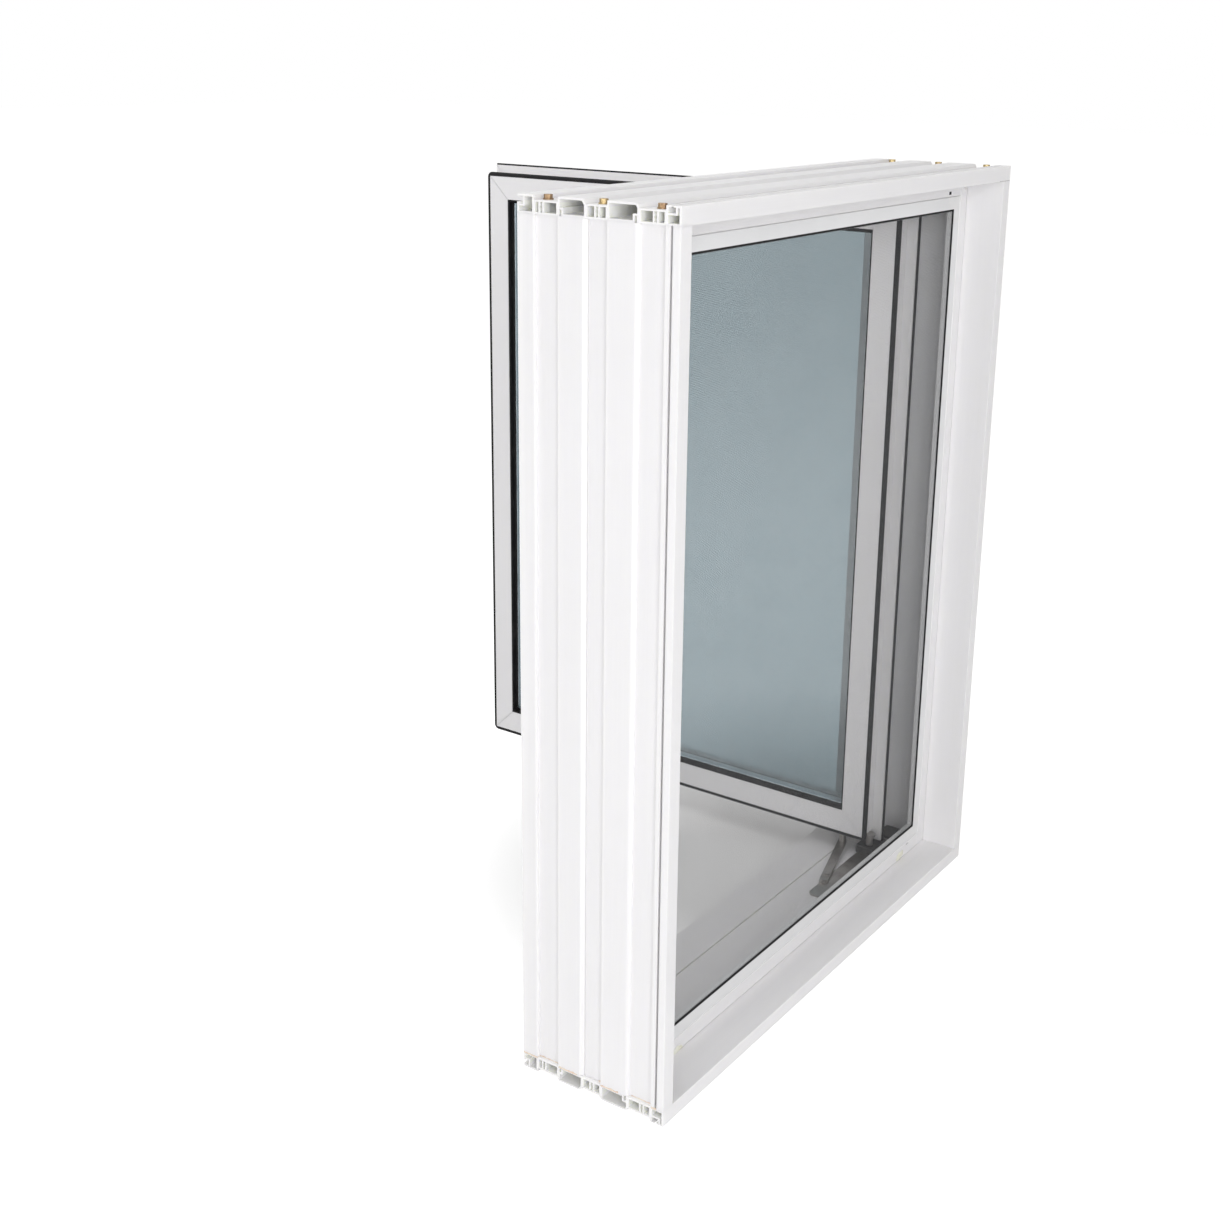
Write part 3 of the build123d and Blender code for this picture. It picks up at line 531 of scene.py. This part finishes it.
# The bar between the panes and the liner's lip, in metres
SPACER_WIDE = 0.0033
SPACER_EDGE = 0.0008
SPACER_PLAY = 0.00015
LIP_START = 0.0018
LIP_END = 0.0048
LIP_DEEP = 0.0012


def glazing_ring(name, node, profile, material):
    """A closed ring inside that node's box; its profile is pairs of X and inset from the edge."""
    low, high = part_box(node)
    made = bmesh.new()
    rows = []
    for y_side, z_side in ((0, 0), (1, 0), (1, 1), (0, 1)):
        row = []
        for x, inset in profile:
            y = high[1] - inset if y_side else low[1] + inset
            z = high[2] - inset if z_side else low[2] + inset
            row.append(made.verts.new((x, y, z)))
        rows.append(row)
    for k, row in enumerate(rows):
        after = rows[(k + 1) % len(rows)]
        for j in range(len(row)):
            i = (j + 1) % len(row)
            made.faces.new((row[j], row[i], after[i], after[j]))
    bmesh.ops.recalc_face_normals(made, faces=made.faces)
    piece = link_piece(name, made)
    piece.data.materials.append(material)
    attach(piece, "root")
    return piece


def spacer_bar():
    """The folded metal bar between the panes, clear of both."""
    low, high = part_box("glass_spacer")
    front, back = low[0] + SPACER_PLAY, high[0] - SPACER_PLAY
    bar = glazing_ring("spacer_bar", "glass_spacer", (
        (front, 0.0), (back, 0.0),
        (back, SPACER_WIDE - SPACER_EDGE), (back - SPACER_EDGE, SPACER_WIDE),
        (front + SPACER_EDGE, SPACER_WIDE), (front, SPACER_WIDE - SPACER_EDGE),
    ), spacer_metal())
    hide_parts("glass_spacer")


def liner_lip():
    """The thin lip of the black liner that lies on the room pane."""
    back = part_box("glazing_liner")[1][0] - SPACER_PLAY
    glazing_ring("liner_lip", "glazing_liner", (
        (back - LIP_DEEP, LIP_START), (back, LIP_START),
        (back, LIP_END), (back - LIP_DEEP / 3, LIP_END),
    ), black_rubber())


# The left jamb's outer side, and the three decks that lie back from it: outdoor and room edge
JAMB_SIDE = -0.332
DECK_BACK = 0.004
DECKS = ((0.0910, 0.0654), (0.0394, 0.0145), (-0.0170, -0.0435))

# The joint between the sill and that jamb, and the runs of sealant on it: start, end, seed
JAMB_FOOT = 0.016
SEALANT_RUNS = ((0.1080, 0.0430, 3), (0.0200, -0.0060, 5), (-0.0190, -0.0500, 9))

# Sealant, in metres: step, root inside the vinyl, then each least reach and what noise adds
SEALANT_STEP = 0.0008
SEALANT_ROOT = 0.0002
SEALANT_BELOW = (0.0008, 0.0007)
SEALANT_ABOVE = (0.0004, 0.0016)
SEALANT_THICK = (0.00035, 0.0005)

# Waves in a metre of the two noises along the joint, and how readily the sealant rises
SEALANT_WAVES = (260, 410)
SEALANT_COVER = 0.15


def jamb_face_x(y):
    """Where the left jamb's outer face lies at that depth."""
    on_deck = any(far < y <= near for near, far in DECKS)
    return JAMB_SIDE + DECK_BACK if on_deck else JAMB_SIDE


def joint_sealant():
    """Thin uneven traces of sealant from the joint between the sill and the left jamb."""
    made = bmesh.new()
    for start, end, seed in SEALANT_RUNS:
        count = int((start - end) / SEALANT_STEP)
        rows = []
        for k in range(count + 1):
            y = start + (end - start) * k / count
            wave = noise.noise(Vector((y * SEALANT_WAVES[0], seed, 0)))
            other = noise.noise(Vector((y * SEALANT_WAVES[1], seed, 4)))
            x = jamb_face_x(y)
            low = JAMB_FOOT - SEALANT_BELOW[0] - SEALANT_BELOW[1] * abs(other)
            high = JAMB_FOOT + SEALANT_ABOVE[0] + SEALANT_ABOVE[1] * max(0.0, wave + SEALANT_COVER)
            thick = SEALANT_THICK[0] + SEALANT_THICK[1] * abs(wave)
            ring = [
                (x + SEALANT_ROOT, y, low),
                (x - thick * 0.6, y, low),
                (x - thick, y, (low + high) / 2),
                (x - thick * 0.5, y, high),
                (x + SEALANT_ROOT, y, high),
            ]
            rows.append([made.verts.new(point) for point in ring])
        close_rows(made, rows)
    material = old_sealant("joint_sealant", (0.80, 0.62, 0.50), (0.86, 0.80, 0.66))
    finish_piece("joint_sealant", made, material)


def close_rows(made, rows):
    """Skins a list of equal rings into one closed strip."""
    for first, second in zip(rows, rows[1:]):
        size = len(first)
        for k in range(size):
            made.faces.new((first[k], first[(k + 1) % size], second[(k + 1) % size], second[k]))
    made.faces.new(list(reversed(rows[0])))
    made.faces.new(rows[-1])


def finish_piece(name, made, material):
    """Links a finished bmesh as a smooth piece that belongs to the window."""
    bmesh.ops.recalc_face_normals(made, faces=made.faces)
    piece = link_piece(name, made)
    piece.data.materials.append(material)
    for face in piece.data.polygons:
        face.use_smooth = True
    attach(piece, "root")


def old_sealant(name, pink, cream):
    """Aged sealant, cream in patches and pinkish brown where it has picked up dirt."""
    m = Finish(name)
    patch = m.spread(m.noise(160.0, 4.0, 0.6), 0.40, 0.62)
    m.colour(m.blend(patch, pink, cream))
    m.roughness(m.spread(patch, 0.0, 1.0, 0.45, 0.62))
    m.bump(m.noise(900.0, 3.0), 0.0002)
    m.set(IOR=1.45)
    return m.material


# Smears of sealant: centre and half size in metres, and seed
SMEAR_LEFT = ((-0.2439, -0.0151, 0.0185), (0.0085, 0.0008, 0.0032), 1.0)
SMEAR_RIGHT = ((0.2500, -0.0151, 0.0215), (0.0095, 0.0008, 0.0048), 6.0)

# The two noises that shape a smear: waves across and upward, and their share of its size
LUMP_WAVES = (1.7, 1.9)
LUMP_SHARE = 0.45
RAGGED_WAVES = (4.3, 4.3)
RAGGED_SHARE = 0.20


def sealant_patch(name, centre, half, seed):
    """A small smear of cream sealant wiped onto the foot of the bottom stop."""
    made = bmesh.new()
    bmesh.ops.create_icosphere(made, subdivisions=4, radius=1.0)
    for vert in made.verts:
        x, y, z = vert.co
        lump = noise.noise(Vector((x * LUMP_WAVES[0] + seed, y, z * LUMP_WAVES[1])))
        ragged = noise.noise(Vector((x * RAGGED_WAVES[0] + seed, 2.0, z * RAGGED_WAVES[1])))
        grow = 1.0 + LUMP_SHARE * lump + RAGGED_SHARE * ragged
        spread = Vector((x * half[0] * grow, y * half[1], z * half[2] * grow))
        vert.co = spread + Vector(centre)
    material = old_sealant(name, (0.80, 0.79, 0.66), (0.85, 0.85, 0.77))
    finish_piece(name, made, material)


def rounded_block(name, low, high, edge, material, slot):
    """A small block with rounded edges."""
    made = bmesh.new()
    bmesh.ops.create_cube(made, size=1.0)
    middle, size = (Vector(low) + Vector(high)) / 2, Vector(high) - Vector(low)
    for vert in made.verts:
        vert.co = Vector((vert.co.x * size.x, vert.co.y * size.y, vert.co.z * size.z)) + middle
    bmesh.ops.bevel(made, geom=made.edges[:], offset=edge, segments=3, profile=0.5, affect="EDGES")
    finish_piece(name, made, material)


# The sash's room face, and its mitre welds, whose start and run are measured along Y and Z
SASH_NEAR, SASH_FAR = 0.0274, 0.0274 + 0.580
SASH_BOTTOM, SASH_TOP = 0.042, 0.808
WELD_WIDTH = 0.0007
WELD_RISE = 0.00018
WELD_START = 0.0004
WELD_RUN = 0.0278
WELD_STEPS = 12
WELD_ROOT = Vector((0.0001, 0, 0))

# The weld's flat top as a share of its width, and the waves and shares of its ripple
WELD_CROWN = 0.4
WELD_WAVES = (300, 9, 7)
WELD_RIPPLE = (0.7, 0.5)


def weld_beads():
    """The faint raised weld along each mitre of the sash's room face."""
    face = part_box("sash_hinge_stile")[0][0]
    corners = ((SASH_NEAR, SASH_BOTTOM, 1, 1), (SASH_NEAR, SASH_TOP, 1, -1),
               (SASH_FAR, SASH_BOTTOM, -1, 1), (SASH_FAR, SASH_TOP, -1, -1))
    made = bmesh.new()
    for y, z, dy, dz in corners:
        side = Vector((0, -dz, dy)).normalized() * WELD_WIDTH
        rows = []
        for k in range(WELD_STEPS + 1):
            along = WELD_START + WELD_RUN * k / WELD_STEPS
            middle = Vector((face, y + dy * along, z + dz * along))
            place = Vector((along * WELD_WAVES[0], y * WELD_WAVES[1], z * WELD_WAVES[2]))
            ripple = abs(noise.noise(place))
            rise = Vector((WELD_RISE * (WELD_RIPPLE[0] + WELD_RIPPLE[1] * ripple), 0, 0))
            ring = (middle - side + WELD_ROOT, middle - side * WELD_CROWN - rise,
                    middle + side * WELD_CROWN - rise, middle + side + WELD_ROOT)
            rows.append([made.verts.new(point) for point in ring])
        close_rows(made, rows)
    material = extruded_vinyl("weld_vinyl", "Z", (0.90, 0.895, 0.89), (0.86, 0.855, 0.85))
    finish_piece("sash_weld_beads", made, material)


# Small marks, in metres: low corner, high corner and rounding
CORNER_CLIP = ((0.3075, -0.0162, 0.8228), (0.3130, -0.0148, 0.8282), 0.0004)
# A grey sheet painted where the weep slot's shade shows
WEEP_SLOT_SHADE = ((0.2665, -0.01512, 0.0293), (0.2725, -0.0149, 0.0303), 0.00008)
# A black block deep in the stop's empty screw hole is painted shade
STOP_HOLE_SHADE = ((0.2680, -0.01505, 0.8192), (0.2740, -0.0132, 0.8226), 0.0003)
# A dark strip painted where the hairline gap at the head joint lies in shade
HEAD_JOINT_LINE = ((0.3040, -0.05808, 0.83385), (0.3319, -0.0578, 0.83420), 0.00006)


def small_marks():
    """A clip, and painted shade: a grey sheet in the weep slot, a black block deep in the stop's
    empty hole and the dark hairline of the gap at a head joint.
    """
    white = moulded_plastic("clip_plastic", (0.80, 0.79, 0.78), (0.74, 0.73, 0.72), 0.35, 0.5)
    darkening = moulded_plastic("joint_gap_painted_shade", (0.22, 0.20, 0.18), (0.14, 0.13, 0.12), 0.6, 0.8)
    slot_shade = moulded_plastic("slot_painted_shade", (0.42, 0.42, 0.43), (0.33, 0.33, 0.34), 0.5, 0.7)
    rounded_block("corner_clip", *CORNER_CLIP, white, "stop_pvc")
    # Painted shade: the grey sheet stands for the dark inside the weep slot
    rounded_block("weep_slot_painted_shade", *WEEP_SLOT_SHADE, slot_shade, "stop_pvc")
    # Painted shade: the black block stands for the dark deep in the empty hole
    rounded_block("stop_hole_painted_shade", *STOP_HOLE_SHADE, black_rubber(), "black_rubber")
    # Painted shade: the dark strip stands for the gap's shade at the head joint
    rounded_block("head_joint_line", *HEAD_JOINT_LINE, darkening, "frame_pvc")


view_settings()
add_camera()
add_world()
add_lamp("soft_key", KEY_DIRECTION, KEY_LEVEL)
add_lamp("soft_fill", FILL_DIRECTION, FILL_LEVEL)
add_floor()
dress_nodes()
woven_screen()
spacer_bar()
liner_lip()
joint_sealant()
sealant_patch("sealant_smear_left", *SMEAR_LEFT)
sealant_patch("sealant_smear_right", *SMEAR_RIGHT)
weld_beads()
small_marks()
